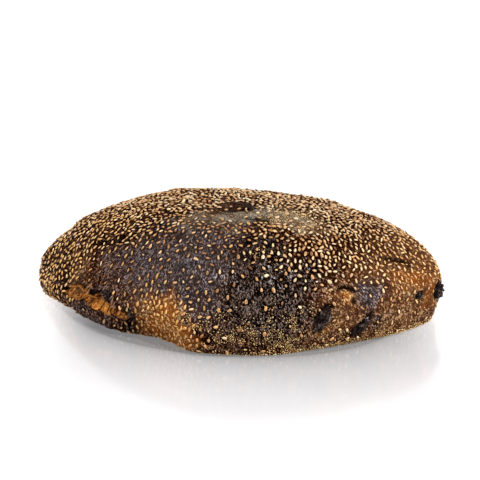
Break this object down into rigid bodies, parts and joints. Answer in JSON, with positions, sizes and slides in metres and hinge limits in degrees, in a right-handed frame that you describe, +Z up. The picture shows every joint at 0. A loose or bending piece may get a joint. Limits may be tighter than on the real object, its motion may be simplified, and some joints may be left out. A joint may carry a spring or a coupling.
{
  "type": "tomato bread loaf",
  "caption": "Uncut tomato bread loaf: a low, dark-baked dome strewn with sesame seeds, with a burst side seam, burnt ends of dried tomato and a flat base to rest on.",
  "frame": {"origin": "middle of the flat base that the loaf rests on", "axes": "+X along the loaf to the right as seen from its front, -Y out of the front that shows the burst seam, +Z up"},
  "size_m": [0.2645, 0.1726, 0.0663],
  "materials": {
    "crust": "dry bread crust, burnt almost black on the front and warm brown at the ends, finely wrinkled",
    "burnt_tomato": "shrivelled, burnt black tomato with a dull gloss",
    "sesame": "toasted sesame seed, satin, from cream to orange brown",
    "semolina": "dry, coarse baking semolina grains"
  },
  "bodies": {
    "root": {"loaf": "crust", "tomato_front": "burnt_tomato", "tomato_foot": "burnt_tomato", "tomato_side": "burnt_tomato", "tomato_end": "burnt_tomato", "tomato_seam": "burnt_tomato", "tomato_back": "burnt_tomato", "tomato_back_left": "burnt_tomato", "tomato_back_right": "burnt_tomato"}
  },
  "joints": []
}
